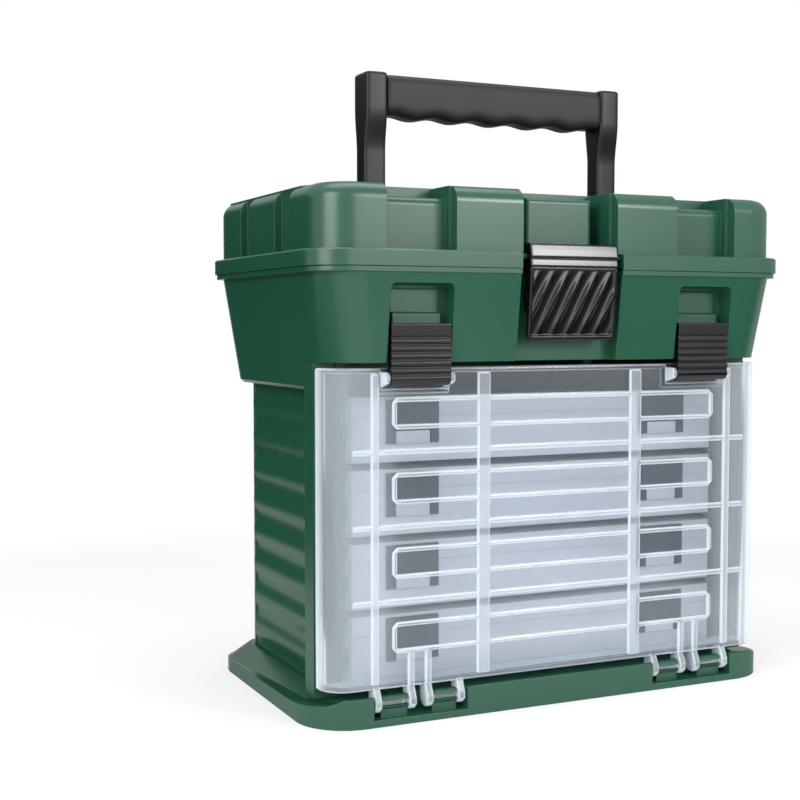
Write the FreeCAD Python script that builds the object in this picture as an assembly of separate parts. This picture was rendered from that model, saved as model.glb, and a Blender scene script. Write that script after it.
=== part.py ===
"""Fishing seat box: a moulded case with a drop-down clear door over four small
utility boxes, an open tub above them, a hinged seat lid and a fold-down handle.

Millimetres, Z up, front towards -Y. The origin is on the floor under the middle of the base.
"""
import FreeCAD, Part
import math
import os

from FreeCAD import Vector

os.makedirs("parts", exist_ok=True)

# Utility boxes, which set the inside of the cabinet
box_count = 4
box_width = 229.5
box_depth = 127.0
box_tray_height = 23.2
box_lid_height = 10.4
box_wall = 1.6
box_corner = 4.0
box_air = 3.8
box_side_gap = 3.7
box_rear_gap = 4.5
box_slide_clear = 0.2

# Dark latches, catches and hinges of a utility box
box_latch_width = 29.0
box_latch_inset = 37.75
box_latch_thick = 2.0
box_latch_top_gap = 1.6
box_latch_length = 22.4
box_latch_leg = 4.6
box_latch_plate = 15.8
box_catch_depth = 1.5
box_catch_height = 6.6
box_hinge_inset = 38.75
box_hinge_size = 3.8
box_hinge_width = 14.0
box_ear = 2.0
box_rows = 3

# Walls and running clearances
wall = 2.5
door_wall = 2.2
running_fit = 0.05
part_gap = 0.3

# Base plinth
foot_ledge = 19.0
base_corner = 27.0
base_band = 6.5
base_shoulder = 9.0
shoulder_run = 36.0
lip_height = 15.0
lip_flat = 2.4
lip_run = 8.0
lip_fall = 3.5
foot_height = 12.0
base_rear_ledge = 3.0
door_setback = 4.0
floor_thick = 3.0
rib_width = 2.5
rib_drop = 4.0
center_foot_half = 8.0

# Cabinet walls
wave_depth = 0.8
wave_per_box = 2
wave_start = 6.6
first_box_lift = 4.7
rail_thick = 2.0
rail_reach = 4.6
headroom = 14.2
door_tuck_setback = 8.0
door_tuck_gap = 0.9
pillar_gap = 2.6
pillar_length = 12.0
flange_reach = 8.5
rear_corner = 14.0

# Clear front door
door_side_reach = 11.4
door_depth = 14.8
door_round = 14.0
door_edge = 0.8
door_floor_gap = 5.7
door_top_gap = 2.7
rib_height = 1.3
rib_outer_inset = 25.55
rib_outer_width = 3.6
rib_inner_x = 46.1
rib_inner_width = 6.6
cross_rib_width = 2.2
loop_inset = 35.35
loop_height = 15.2
loop_line = 1.7
loop_corner = 2.4
loop_drop = 1.3

# Snap hinge of the door: moulded bars between legs, held in clips on the plinth
hinge_axis_back = 1.0
hinge_axis_z = 11.0
hinge_bar_radius = 1.6
leg_inset = 26.45
leg_outer_span = 18.9
leg_middle_gap = 9.5
leg_inner_span = 17.9
leg_width = 3.4
leg_radius = 4.3
clip_side_gap = 0.5
clip_wall = 1.8
clip_mouth = 2.7
recess_side_gap = 1.2
recess_depth = 13.0
recess_ledge_z = 3.6

# Latches on the door
door_latch_inset = 47.45
door_latch_width = 32.6
door_latch_front = 8.2
door_latch_radius = 3.8
door_latch_pivot_drop = 5.0
door_latch_top = 23.3
door_latch_thick = 3.0
door_latch_rib = 0.7
door_latch_ribs = 6
door_latch_hook = 3.0
latch_pin_radius = 1.2
ear_thick = 2.2
ear_gap = 0.4
pocket_depth = 1.9
pocket_below = 5.6

# Upper tub
tub_side_lead = 16.5
tub_front_lead = 10.7
tub_corner = 22.0
tub_slope = 0.13
tub_height = 44.4
tub_skirt = 14.5
tub_edge = 1.8
tub_floor = 2.5
rim_thick = 2.3
rim_lead_side = 3.6
rim_lead_front = 0.9
side_recess_gap = 1.1
side_recess_rise = 39.0
recess_floor_back = 2.0
recess_round = 3.0
catch_rise = 24.0
catch_inset = 3.3
catch_panel = 1.0
catch_panel_drop = 3.0
main_catch_half = 18.0
main_catch_slope = 1.5
main_catch_height = 5.0
catch_gap = 0.4
main_recess_width = 60.4

# Lid
lid_seam = 0.2
skirt_height = 8.3
skirt_edge = 0.8
skirt_lead_side = 4.6
skirt_lead_front = 1.4
lid_inset_side = 4.3
lid_inset_front = 3.0
lid_corner = 22.0
lid_rise = 32.3
lid_round = 8.0
panel_depth = 10.7
panel_drop = 5.8
panel_round = 4.0
center_panel_half = 20.0
center_panel_back = 1.5
center_panel_drop = 3.5
center_groove_back = 26.0
plateau_back = 24.5
pad_step = 1.0
pad_step_depth = 6.5
pad_inner = 28.3
pad_outer_inset = 33.75
pad_panel_width = 37.8
side_pad_inset = 4.1
side_pad_half = 20.7
side_channel_front = 21.0
side_channel_rear = 14.0

# Main latch on the lid
main_latch_width = 52.0
main_latch_barrel = 6.4
main_latch_front = 1.4
main_latch_pivot_z = 6.5
main_latch_length = 49.6
main_latch_thick = 3.0
main_latch_side = 8.0
main_latch_ridges = 6
main_ridge_angle = 63.0
main_ridge_face = 0.5
main_pin_radius = 1.5
lug_width = 4.0
main_catch_drop = 20.0

# Lid hinge
hinge_barrel = 3.6
hinge_back = 3.8
hinge_rise = 2.0
hinge_inset = 57.45
hinge_knuckle = 9.0
hinge_slot_gap = 0.4
hinge_pin_radius = 1.5

# Handle
handle_half_width = 80.9
post_width = 13.0
handle_head = 18.6
handle_neck = 12.4
handle_reach = 76.9
grip_height = 24.4
grip_bulge = 2.2
grip_bulges = 5
grip_pitch = 25.0
grip_round = 5.0
sleeve_gap = 5.5
handle_shift = 1.0
pivot_radius = 7.0
pivot_pin_radius = 3.0
pivot_drop = 9.4
pivot_length = 4.0
boss_wall = 3.0
boss_length = 6.0
well_side_gap = 0.6
well_front_gap = 5.0
well_rear_gap = 1.4
well_floor_gap = 2.0
well_corner = 2.2

# Snap tongues that hold the tub down on the cabinet
tongue_width = 5.0
tongue_thick = 3.0
tongue_barb = 1.2
tongue_tip = 3.0
tongue_side_inset = 1.5
tongue_end_inset = 16.0

# Share of a wall by which a slanted corner's cut shrinks on the inner side of the wall
corner_share = 2 - math.sqrt(2)

# Places that follow from the sizes above
box_height = box_tray_height + box_lid_height
box_pitch = box_height + box_air
cab_inner = box_width / 2 + box_side_gap
cab_outer = cab_inner + wall
base_half = cab_outer + foot_ledge
box_front_back = door_depth + pillar_gap + box_latch_thick + 0.6
cab_depth = box_front_back + box_depth + box_rear_gap + wall
base_depth = door_setback + cab_depth + base_rear_ledge
base_front = -base_depth / 2
base_back = base_depth / 2
door_face = base_front + door_setback
cab_back = base_back - base_rear_ledge
box_front = door_face + box_front_back
first_box_z = foot_height + first_box_lift
cab_top = first_box_z + box_count * box_pitch + headroom
door_half = cab_outer + door_side_reach
door_bottom = foot_height + door_floor_gap
door_top = cab_top - door_top_gap
door_rear = door_face + door_depth
pillar_front = door_rear + pillar_gap
axis_y = door_face + hinge_axis_back
axis_z = hinge_axis_z
door_latch_axis_y = door_face - door_latch_front + door_latch_radius
door_latch_axis_z = door_top - door_latch_pivot_drop
leg_outer_x = (door_half - leg_inset - leg_outer_span, door_half - leg_inset)
leg_inner_x = (leg_outer_x[0] - leg_middle_gap - leg_inner_span, leg_outer_x[0] - leg_middle_gap)
rib_outer_x = door_half - rib_outer_inset
loop_half_width = door_half - loop_inset
door_latch_x = door_half - door_latch_inset
box_latch_x = box_width / 2 - box_latch_inset
box_hinge_x = box_width / 2 - box_hinge_inset
tub_half = cab_outer + tub_side_lead
tub_front = door_face - tub_front_lead
tub_back = cab_back + part_gap + wall + (tub_height + tub_skirt) * tub_slope
tub_top = cab_top + tub_height
rim_top = tub_top + rim_thick
lid_bottom = rim_top + lid_seam
skirt_top = lid_bottom + skirt_height
lid_top = skirt_top + lid_rise
skirt_half = tub_half + skirt_lead_side
skirt_front = tub_front - skirt_lead_front
skirt_back = tub_back + skirt_lead_front
lid_half = skirt_half - lid_inset_side
lid_front = skirt_front + lid_inset_front
lid_back = skirt_back - lid_inset_front
pad_outer = lid_half - pad_outer_inset
pad_middle = pad_outer - pad_panel_width
hinge_x = tub_half - hinge_inset
panel_front = lid_front + panel_depth
plateau_front = lid_front + plateau_back
main_axis_y = skirt_front - main_latch_front + main_latch_barrel
main_axis_z = lid_bottom + main_latch_pivot_z
lid_axis_y = skirt_back + hinge_back
lid_axis_z = lid_bottom + hinge_rise
handle_y = (tub_front + tub_back) / 2 + handle_shift
pivot_z = lid_top - pivot_drop
handle_top = pivot_z + handle_reach
well_half = handle_half_width + well_side_gap
well_front = handle_y - pivot_radius - well_front_gap
well_rear = handle_y + math.hypot(handle_reach, handle_head / 2) + well_rear_gap
well_floor = pivot_z - handle_head / 2 - well_floor_gap
recess_floor = door_face + recess_floor_back
main_recess_half = main_recess_width / 2
far = 400.0


def box(x0, x1, y0, y1, z0, z1):
    """A block between two corners."""
    return Part.makeBox(x1 - x0, y1 - y0, z1 - z0, Vector(x0, y0, z0))


def rod(x0, x1, y, z, radius):
    """A round bar along X."""
    return Part.makeCylinder(radius, x1 - x0, Vector(x0, y, z), Vector(1, 0, 0))


def line(a, b):
    """A straight edge."""
    return Part.LineSegment(a, b).toShape()


def arc(a, b, c):
    """A circular edge through three points."""
    return Part.Arc(a, b, c).toShape()


def rounded(x0, x1, y0, y1, radius, z, rear_radius=None):
    """A level rectangle with round corners, the front pair and rear pair set apart."""
    rear = radius if rear_radius is None else rear_radius
    corners = [
        (x1 - rear, y1 - rear, rear, 0),
        (x0 + rear, y1 - rear, rear, 90),
        (x0 + radius, y0 + radius, radius, 180),
        (x1 - radius, y0 + radius, radius, 270),
    ]
    edges = []
    last = None
    first = None
    for cx, cy, r, start in corners:
        ends = []
        for turn in (0, 45, 90):
            angle = math.radians(start + turn)
            ends.append(Vector(cx + r * math.cos(angle), cy + r * math.sin(angle), z))
        if last is not None:
            edges.append(line(last, ends[0]))
        if first is None:
            first = ends[0]
        edges.append(arc(*ends))
        last = ends[2]
    edges.append(line(last, first))
    return Part.Wire(edges)


def slanted(x0, x1, y0, y1, cut, z):
    """A level rectangle with its corners cut off at a slant."""
    points = [
        (x0 + cut, y0),
        (x1 - cut, y0),
        (x1, y0 + cut),
        (x1, y1 - cut),
        (x1 - cut, y1),
        (x0 + cut, y1),
        (x0, y1 - cut),
        (x0, y0 + cut),
    ]
    ring = [Vector(x, y, z) for x, y in points]
    return Part.makePolygon(ring + ring[:1])


def plate(wire, height):
    """A wire filled and raised."""
    return Part.Face(wire).extrude(Vector(0, 0, height))


def side_shape(points, x0, x1):
    """A side outline in Y and Z drawn out along X.

    A point given as three numbers pairs, (mid, end), is the far end of an arc.
    """
    edges = []
    start = Vector(x0, points[0][0], points[0][1])
    here = start
    for item in points[1:]:
        if len(item) == 4:
            middle = Vector(x0, item[0], item[1])
            there = Vector(x0, item[2], item[3])
            edges.append(arc(here, middle, there))
        else:
            there = Vector(x0, item[0], item[1])
            edges.append(line(here, there))
        here = there
    if (here - start).Length > 1e-6:
        edges.append(line(here, start))
    return Part.Face(Part.Wire(edges)).extrude(Vector(x1 - x0, 0, 0))


def mirrored(shape):
    """The same shape on the other side of the middle."""
    return shape.mirror(Vector(0, 0, 0), Vector(1, 0, 0))


def both(shape):
    """The shape with its mirror image."""
    return [shape, mirrored(shape)]


def join(shapes):
    """One solid out of touching shapes."""
    whole = shapes[0]
    if len(shapes) > 1:
        whole = whole.multiFuse(shapes[1:])
    return whole.removeSplitter()


def fillet(shape, radius, choose):
    """The shape with the chosen edges rounded."""
    return shape.makeFillet(radius, [e for e in shape.Edges if choose(e)])


def chamfer(shape, size, choose):
    """The shape with the chosen edges cut at a slant."""
    return shape.makeChamfer(size, [e for e in shape.Edges if choose(e)])


def level_edge(z, tolerance=0.01):
    """Picks edges that lie wholly at one height."""
    return lambda e: abs(e.BoundBox.ZMin - z) < tolerance and abs(e.BoundBox.ZMax - z) < tolerance


def save(name, shape):
    """Write one sub-part."""
    if not shape.isValid():
        raise ValueError("bad solid: " + name)
    shape.exportStep("parts/" + name + ".step")


def tongue_places():
    """Where the snap tongues stand: their X spans and the Y of their barbed faces."""
    x1 = cab_inner - tongue_side_inset
    x0 = x1 - tongue_width
    places = []
    for y in (pillar_front + wall + tongue_end_inset, cab_back - wall - tongue_end_inset):
        places += [(x0, x1, y), (-x1, -x0, y)]
    return places


def snap_tongues():
    """Hooked tongues under the tub's floor, each with its barb below the cabinet's top flange."""
    barb_z = cab_top - wall - part_gap
    tip_z = barb_z - tongue_tip
    shapes = []
    for x0, x1, y in tongue_places():
        outline = [
            (y, cab_top + tub_floor / 2),
            (y, barb_z),
            (y - tongue_barb, barb_z),
            (y, tip_z),
            (y + tongue_thick, tip_z),
            (y + tongue_thick, cab_top + tub_floor / 2),
        ]
        shapes.append(side_shape(outline, x0, x1))
    return shapes


def tongue_slots():
    """The slots in the cabinet's top flange that the snap tongues go through."""
    slots = []
    for x0, x1, y in tongue_places():
        slots.append(box(
            x0 - part_gap,
            x1 + part_gap,
            y - part_gap,
            y + tongue_thick + part_gap,
            cab_top - wall - 1,
            cab_top + 1,
        ))
    return slots


def clip_spans():
    """The X spans of the four hinge clips, each between a pair of door legs."""
    spans = []
    for inner, outer in (leg_inner_x, leg_outer_x):
        a = inner + leg_width / 2 + clip_side_gap
        b = outer - leg_width / 2 - clip_side_gap
        spans += [(a, b), (-b, -a)]
    return spans


def base_plinth():
    """The foot: a low band that rises into a front lip, with the hinge recesses and clips."""
    outline = rounded(-base_half, base_half, base_front, base_back, base_corner, 0)
    crown = side_shape(
        [
            (base_front - 1, -1),
            (base_front - 1, lip_height),
            (base_front + lip_flat, lip_height),
            (base_front + lip_flat * 2, lip_height - lip_fall * 0.6, base_front + lip_run, lip_height - lip_fall),
            (base_front + shoulder_run, base_shoulder),
            (base_back + 1, base_band),
            (base_back + 1, -1),
        ],
        -base_half - 1,
        base_half + 1,
    )
    band = plate(outline, lip_height).common(crown)
    deck = Part.makeLoft(
        [
            rounded(-base_half, base_half, base_front, base_back, base_corner, base_band - 0.1),
            rounded(
                -cab_outer - wave_depth - 1,
                cab_outer + wave_depth + 1,
                base_front + door_setback + door_depth / 2,
                cab_back + 1,
                base_corner / 3,
                foot_height,
            ),
        ],
        True,
        True,
    )
    body = join([band, deck])
    inset = foot_ledge - wall
    hollow = box(
        -base_half + inset,
        base_half - inset,
        base_front + recess_depth + wall,
        base_back - base_rear_ledge - wall,
        -1,
        foot_height - floor_thick,
    )
    body = body.cut(hollow)
    deck_z = foot_height - 1
    rib_z = foot_height - floor_thick - rib_drop
    ribs = []
    for i in range(-2, 3):
        x = i * base_half / 3
        ribs.append(box(x - rib_width / 2, x + rib_width / 2, base_front + recess_depth, cab_back, rib_z, deck_z))
    ribs.append(box(-cab_outer, cab_outer, -rib_width / 2, rib_width / 2, rib_z, deck_z))
    half = center_foot_half
    foot = box(-half, half, -half, half, 0, deck_z)
    body = join([body, foot] + ribs)
    gap = leg_width / 2 + recess_side_gap
    cutters = []
    for side in (-1, 1):
        x0, x1 = sorted((side * (leg_inner_x[0] - gap), side * (leg_outer_x[1] + gap)))
        cutters.append(box(x0, x1, base_front - 1, base_front + recess_depth, recess_ledge_z, far))
    body = body.cut(Part.Compound(cutters))
    body = join([body] + [hinge_clip(a, b) for a, b in clip_spans()])
    return body


def hinge_clip(x0, x1):
    """A C-shaped clip that a hinge bar snaps into from the front."""
    bore = hinge_bar_radius + running_fit
    outer = bore + clip_wall
    ring = rod(x0, x1, axis_y, axis_z, outer)
    stem = box(x0, x1, axis_y - outer * 0.4, axis_y + outer, recess_ledge_z - 0.5, axis_z)
    clip = join([ring, stem])
    clip = clip.cut(rod(x0 - 1, x1 + 1, axis_y, axis_z, bore))
    mouth = box(x0 - 1, x1 + 1, axis_y - outer - 1, axis_y, axis_z - clip_mouth / 2, axis_z + clip_mouth / 2)
    return clip.cut(mouth)


def wavy_wall(x_middle, y0, y1, z0, z1):
    """A wall whose section swings in and out with height, drawn along Y."""
    half = box_pitch / (2 * wave_per_box)
    first = foot_height + wave_start - half
    turns = int(math.ceil((cab_top - first) / half))
    rows = []
    for shift in (-wall / 2, wall / 2):
        x = x_middle + shift
        row = []
        for i in range(turns):
            z = first + i * half
            swing = wave_depth * (-1) ** (i + 1)
            row.append(arc(Vector(x, y0, z), Vector(x + swing, y0, z + half / 2), Vector(x, y0, z + half)))
        rows.append(row)
    last = first + turns * half
    ends = [
        line(Vector(x_middle - wall / 2, y0, last), Vector(x_middle + wall / 2, y0, last)),
        line(Vector(x_middle + wall / 2, y0, first), Vector(x_middle - wall / 2, y0, first)),
    ]
    ring = Part.Wire(rows[0] + [ends[0]] + rows[1][::-1] + [ends[1]])
    wall_solid = Part.Face(ring).extrude(Vector(0, y1 - y0, 0))
    return wall_solid.common(box(-far, far, y0 - 1, y1 + 1, z0, z1))


def box_z(i):
    """Underside height of utility box i, counted from the bottom."""
    return first_box_z + i * box_pitch


def cabinet_plan(inset):
    """A prism of the cabinet's full height and width whose rear corners are round, moved inwards by an inset."""
    outline = rounded(
        -cab_outer + inset,
        cab_outer - inset,
        door_face,
        cab_back - inset,
        1.0,
        foot_height,
        rear_corner - inset,
    )
    return plate(outline, cab_top - foot_height)


def cabinet_shell():
    """The open-fronted cabinet: wavy side walls with box rails, back wall and door pillars."""
    side_middle = cab_inner + wall / 2
    tuck_top = door_top - door_wall - door_tuck_gap
    tuck_front = door_face + door_tuck_setback
    wall_end = cab_back - rear_corner
    side_wall = wavy_wall(side_middle, tuck_front, wall_end, foot_height, cab_top)
    swing = math.hypot(door_rear - axis_y, door_bottom + door_wall - axis_z) + door_tuck_gap
    side_wall = side_wall.cut(rod(-far, far, axis_y, axis_z, swing))
    side_wall = side_wall.cut(box(-far, far, -far, door_rear + door_tuck_gap, tuck_top, far))
    reach = door_half
    pillar = join([
        box(side_middle, reach, pillar_front, pillar_front + wall, foot_height, cab_top),
        box(reach - wall, reach, pillar_front, pillar_front + pillar_length, foot_height, cab_top),
    ])
    parts = [side_wall, pillar]
    inner_face = box_width / 2 - rail_reach
    for i in range(box_count):
        top = box_z(i) - box_slide_clear
        parts.append(box(inner_face, side_middle, box_front, cab_back - wall, top - rail_thick, top))
    for z in (foot_height, cab_top - wall):
        parts.append(box(cab_inner - flange_reach, side_middle, pillar_front + wall, cab_back - wall, z, z + wall))
    half = join(parts)
    outside = cabinet_plan(0)
    rear = outside.cut(cabinet_plan(wall)).common(box(-far, far, wall_end, far, -far, far))
    corners = box(-far, far, wall_end, far, -far, far).cut(outside)
    shell = join([half.cut(corners), mirrored(half).cut(corners), rear])
    return shell.cut(Part.Compound(tongue_slots()))


def tub_wire(z, inset):
    """The tub's level outline at a height, moved inwards by an inset."""
    shrink = (tub_top - z) * tub_slope + inset
    return rounded(
        -tub_half + shrink,
        tub_half - shrink,
        tub_front + shrink,
        tub_back - shrink,
        tub_corner - inset,
        z,
    )


def latch_recess_spans():
    """X spans, top height and floor of the three finger recesses in the tub front."""
    half = door_latch_width / 2 + side_recess_gap
    spans = []
    for side in (-1, 1):
        spans.append((side * door_latch_x - half, side * door_latch_x + half, cab_top + side_recess_rise))
    spans.append((-main_recess_half, main_recess_half, rim_top + 1))
    return spans


def upper_tub():
    """The tapered tub above the cabinet, with its rim, skirt, finger recesses and hinge knuckles."""
    low = cab_top - tub_skirt
    outer = Part.makeLoft([tub_wire(low, tub_edge), tub_wire(low + tub_edge, 0), tub_wire(tub_top, 0)], True, True)
    rim = plate(
        rounded(
            -tub_half - rim_lead_side,
            tub_half + rim_lead_side,
            tub_front - rim_lead_front,
            tub_back + rim_lead_front,
            tub_corner,
            tub_top - 0.2,
        ),
        rim_thick + 0.2,
    )
    body = join([outer, rim])
    inside = Part.makeLoft([tub_wire(cab_top + tub_floor, wall), tub_wire(rim_top + 0.5, wall)], True, True)
    under = Part.makeLoft([tub_wire(low - 1, wall), tub_wire(cab_top, wall)], True, True)
    notch = box(-far, far, -far, pillar_front + pillar_length, low - 1, cab_top)
    envelope = body
    body = body.cut(Part.Compound([inside]))
    body = body.cut(join([under, notch]))
    bosses = []
    cuts = []
    for x0, x1, top in latch_recess_spans():
        boss = box(x0 - wall, x1 + wall, -far, recess_floor + wall, cab_top, min(top + wall, rim_top))
        bosses.append(boss.common(envelope))
        cut = box(x0, x1, tub_front - far, recess_floor, cab_top - far, top)
        if top < rim_top:
            cut = fillet(cut, recess_round, level_edge(top))
        cuts.append(cut)
    body = join([body] + bosses)
    body = body.cut(Part.Compound(cuts))
    return join([body] + tub_knuckles() + snap_tongues())


def latch_catches():
    """The strikes on the backs of the three finger recesses that the latches' hooks close on."""
    tip = door_face - door_latch_front + door_latch_thick + door_latch_hook + catch_gap
    half = door_latch_width / 2 - catch_inset
    step = cab_top + catch_rise
    panel_y = recess_floor - catch_panel
    panel_top = cab_top + side_recess_rise - catch_panel_drop
    block = [
        (recess_floor, cab_top),
        (tip, cab_top),
        (tip, step),
        (panel_y, step + catch_panel),
        (panel_y, panel_top),
        (recess_floor, panel_top),
    ]
    catches = [side_shape(block, side * door_latch_x - half, side * door_latch_x + half) for side in (-1, 1)]
    low = tub_top - main_catch_drop
    tip = main_hook_back() + catch_gap
    ledge = [
        (recess_floor, low),
        (tip, low + main_catch_slope),
        (tip, low + main_catch_height),
        (recess_floor, low + main_catch_height),
    ]
    catches.append(side_shape(ledge, -main_catch_half, main_catch_half))
    return Part.Compound(catches)


def knuckle_spans():
    """X spans of one rear hinge: lid knuckle in the middle, tub knuckles beside it."""
    half = hinge_knuckle / 2
    middle = (hinge_x - half, hinge_x + half)
    left = (middle[0] - hinge_slot_gap - hinge_knuckle, middle[0] - hinge_slot_gap)
    right = (middle[1] + hinge_slot_gap, middle[1] + hinge_slot_gap + hinge_knuckle)
    return left, middle, right


def tub_knuckles():
    """Rear hinge barrels on brackets that rise off the tub's back wall, with the bar between them."""
    left, _, right = knuckle_spans()
    shapes = []
    root = tub_back - 2
    for x0, x1 in (left, right):
        arm = side_shape(
            [
                (root, tub_top - 16),
                (lid_axis_y + hinge_barrel, lid_axis_z - 3),
                (lid_axis_y + hinge_barrel, lid_axis_z),
                (lid_axis_y - hinge_barrel, lid_axis_z),
                (lid_axis_y - hinge_barrel, rim_top - 0.2),
                (root, rim_top - 0.2),
            ],
            x0,
            x1,
        )
        shapes += both(join([arm, rod(x0, x1, lid_axis_y, lid_axis_z, hinge_barrel)]))
    inset = hinge_knuckle / 2
    shapes += both(rod(left[0] + inset, right[1] - inset, lid_axis_y, lid_axis_z, hinge_pin_radius))
    return shapes


def lid_pads():
    """Plan blocks of the raised pads that wrap over the front and side edges of the lid."""
    inner, middle, outer = pad_inner, pad_middle, pad_outer
    step_y = lid_front + pad_step_depth
    blocks = []
    edge = lid_half + 1
    low = skirt_top - 1
    pad_y = handle_y
    front_end = pad_y - side_pad_half - side_channel_front
    rear_start = pad_y + side_pad_half + side_channel_rear
    for side in (-1, 1):
        x0, x1 = sorted((side * inner, side * middle))
        blocks.append(box(x0, x1, lid_front - 1, step_y, low, far))
        blocks.append(box(x0 - pad_step, x1 + pad_step, step_y, plateau_front + 2, low, far))
        x0, x1 = sorted((side * outer, side * edge))
        blocks.append(box(x0, x1, lid_front - 1, step_y, low, far))
        blocks.append(box(x0, x1, rear_start, lid_back + 1, low, far))
        x0, x1 = sorted((side * (outer - pad_step), side * edge))
        blocks.append(box(x0, x1, step_y, front_end, low, far))
        x0, x1 = sorted((side * (edge - side_pad_inset * 2), side * edge))
        blocks.append(box(x0, x1, pad_y - side_pad_half, pad_y + side_pad_half, low, far))
    blocks.append(box(-middle, middle, lid_back - side_pad_inset * 2, lid_back + 1, low, far))
    return blocks


def lid_outer():
    """The lid above its skirt: a lower inset body, raised plateau, pads and the middle panel."""
    full = plate(rounded(-lid_half, lid_half, lid_front, lid_back, lid_corner, skirt_top - 1), lid_rise + 1)
    full = fillet(full, lid_round, level_edge(lid_top))
    inset = side_pad_inset
    core_corner = lid_corner - inset
    core = plate(
        rounded(-lid_half + inset, lid_half - inset, panel_front, lid_back - inset, core_corner, skirt_top - 1),
        lid_rise + 1 - panel_drop,
    )
    core = fillet(
        core,
        panel_round,
        lambda e: level_edge(lid_top - panel_drop)(e) and e.BoundBox.YMax < panel_front + 0.01,
    )
    plateau = plate(
        rounded(-lid_half + inset, lid_half - inset, plateau_front, lid_back - inset, core_corner, skirt_top - 1),
        lid_rise + 1,
    )
    pads = [full.common(block) for block in lid_pads()]
    body = join([core, plateau] + pads)
    groove = box(
        -pad_inner + pad_step,
        pad_inner - pad_step,
        lid_front - 1,
        lid_front + center_groove_back,
        skirt_top,
        far,
    )
    body = body.cut(groove)
    panel_y = panel_front + center_panel_back
    panel = box(
        -center_panel_half,
        center_panel_half,
        panel_y,
        lid_front + center_groove_back + 1,
        skirt_top - 1,
        lid_top - center_panel_drop,
    )
    panel = fillet(
        panel,
        2.5,
        lambda e: e.BoundBox.YMax < panel_y + 0.01 and e.BoundBox.ZMax > lid_top - center_panel_drop - 0.01,
    )
    return join([body, panel])


def lid_inside():
    """The hollow under the lid, with flat ceilings below the panels and below the handle well."""
    inset = side_pad_inset + wall
    main = plate(
        rounded(
            -lid_half + inset,
            lid_half - inset,
            panel_front + center_panel_back + wall,
            lid_back - inset,
            lid_corner - inset,
            skirt_top - wall - 2,
        ),
        lid_rise - panel_drop + 2,
    )
    front = box(
        -pad_inner - pad_step - wall,
        pad_inner + pad_step + wall,
        panel_front - 5,
        lid_front + center_groove_back + wall,
        skirt_top - 5,
        far,
    )
    behind_panel = box(
        -center_panel_half + wall,
        center_panel_half - wall,
        panel_front + center_panel_back + wall,
        lid_front + center_groove_back + wall + 1,
        skirt_top - wall - 2,
        lid_top - panel_drop - wall,
    )
    main = main.cut(front)
    main = join([main, behind_panel])
    skirt_room = plate(
        rounded(
            -skirt_half + wall,
            skirt_half - wall,
            skirt_front + wall,
            skirt_back - wall,
            lid_corner,
            lid_bottom - 1,
        ),
        skirt_height + 1 - wall,
    )
    return main, skirt_room


def handle_well(extra):
    """The well that the folded handle lies in, grown by a wall thickness on every face."""
    return plate(
        slanted(
            -well_half - extra,
            well_half + extra,
            well_front - extra,
            well_rear + extra,
            well_corner + extra * corner_share,
            well_floor - extra,
        ),
        lid_top + 1 - well_floor + extra,
    )


def lid_shell():
    """The seat lid: skirt, padded upper body, handle well with pivot bosses, latch bar and knuckles."""
    skirt = plate(
        rounded(-skirt_half, skirt_half, skirt_front, skirt_back, lid_corner, lid_bottom),
        skirt_height,
    )
    skirt = chamfer(skirt, skirt_edge, level_edge(skirt_top))
    envelope = join([skirt, lid_outer()])
    main, skirt_room = lid_inside()
    body = envelope.cut(skirt_room)
    body = body.cut(main)
    well_wall = handle_well(wall).common(envelope)
    bosses = []
    for side in (-1, 1):
        x0, x1 = sorted((side * well_half, side * (well_half + boss_length)))
        reach = pivot_pin_radius + boss_wall
        boss = box(x0, x1, handle_y - reach, handle_y + reach, pivot_z - reach, pivot_z + reach)
        bosses.append(boss.common(envelope))
    body = join([body, well_wall] + bosses)
    body = body.cut(handle_well(0))
    reach = well_half + pivot_length + part_gap
    body = body.cut(rod(-reach, reach, handle_y, pivot_z, pivot_pin_radius + running_fit))
    notch = box(
        -main_recess_half,
        main_recess_half,
        skirt_front - 1,
        panel_front + center_panel_back,
        lid_bottom - 1,
        skirt_top,
    )
    body = body.cut(notch)
    closing = box(
        -main_recess_half - wall,
        main_recess_half + wall,
        panel_front + center_panel_back,
        panel_front + center_panel_back + wall,
        lid_bottom + 1,
        skirt_top,
    )
    lugs = []
    for side in (-1, 1):
        x0, x1 = sorted((side * main_recess_half, side * (main_recess_half + lug_width)))
        lug = box(x0, x1, skirt_front + 0.5, panel_front + center_panel_back + wall, lid_bottom + 1, skirt_top + 3)
        lugs.append(lug)
    body = join([body, closing] + [lug.common(envelope) for lug in lugs])
    reach = main_recess_half + lug_width / 2
    body = join([body, rod(-reach, reach, main_axis_y, main_axis_z, main_pin_radius)] + lid_knuckles())
    return body.cut(rod(-far, far, lid_axis_y, lid_axis_z, hinge_pin_radius + running_fit))


def lid_knuckles():
    """The lid's rear hinge barrels, each on a short arm from the skirt."""
    _, (x0, x1), _ = knuckle_spans()
    arm = box(x0, x1, skirt_back - 1, lid_axis_y, lid_axis_z - 1.5, lid_axis_z + hinge_barrel)
    return both(join([arm, rod(x0, x1, lid_axis_y, lid_axis_z, hinge_barrel)]))


def main_hook_back():
    """How far back the tip of the main latch's hook reaches."""
    return main_axis_y - main_latch_barrel + main_latch_side + 1.5


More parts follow.
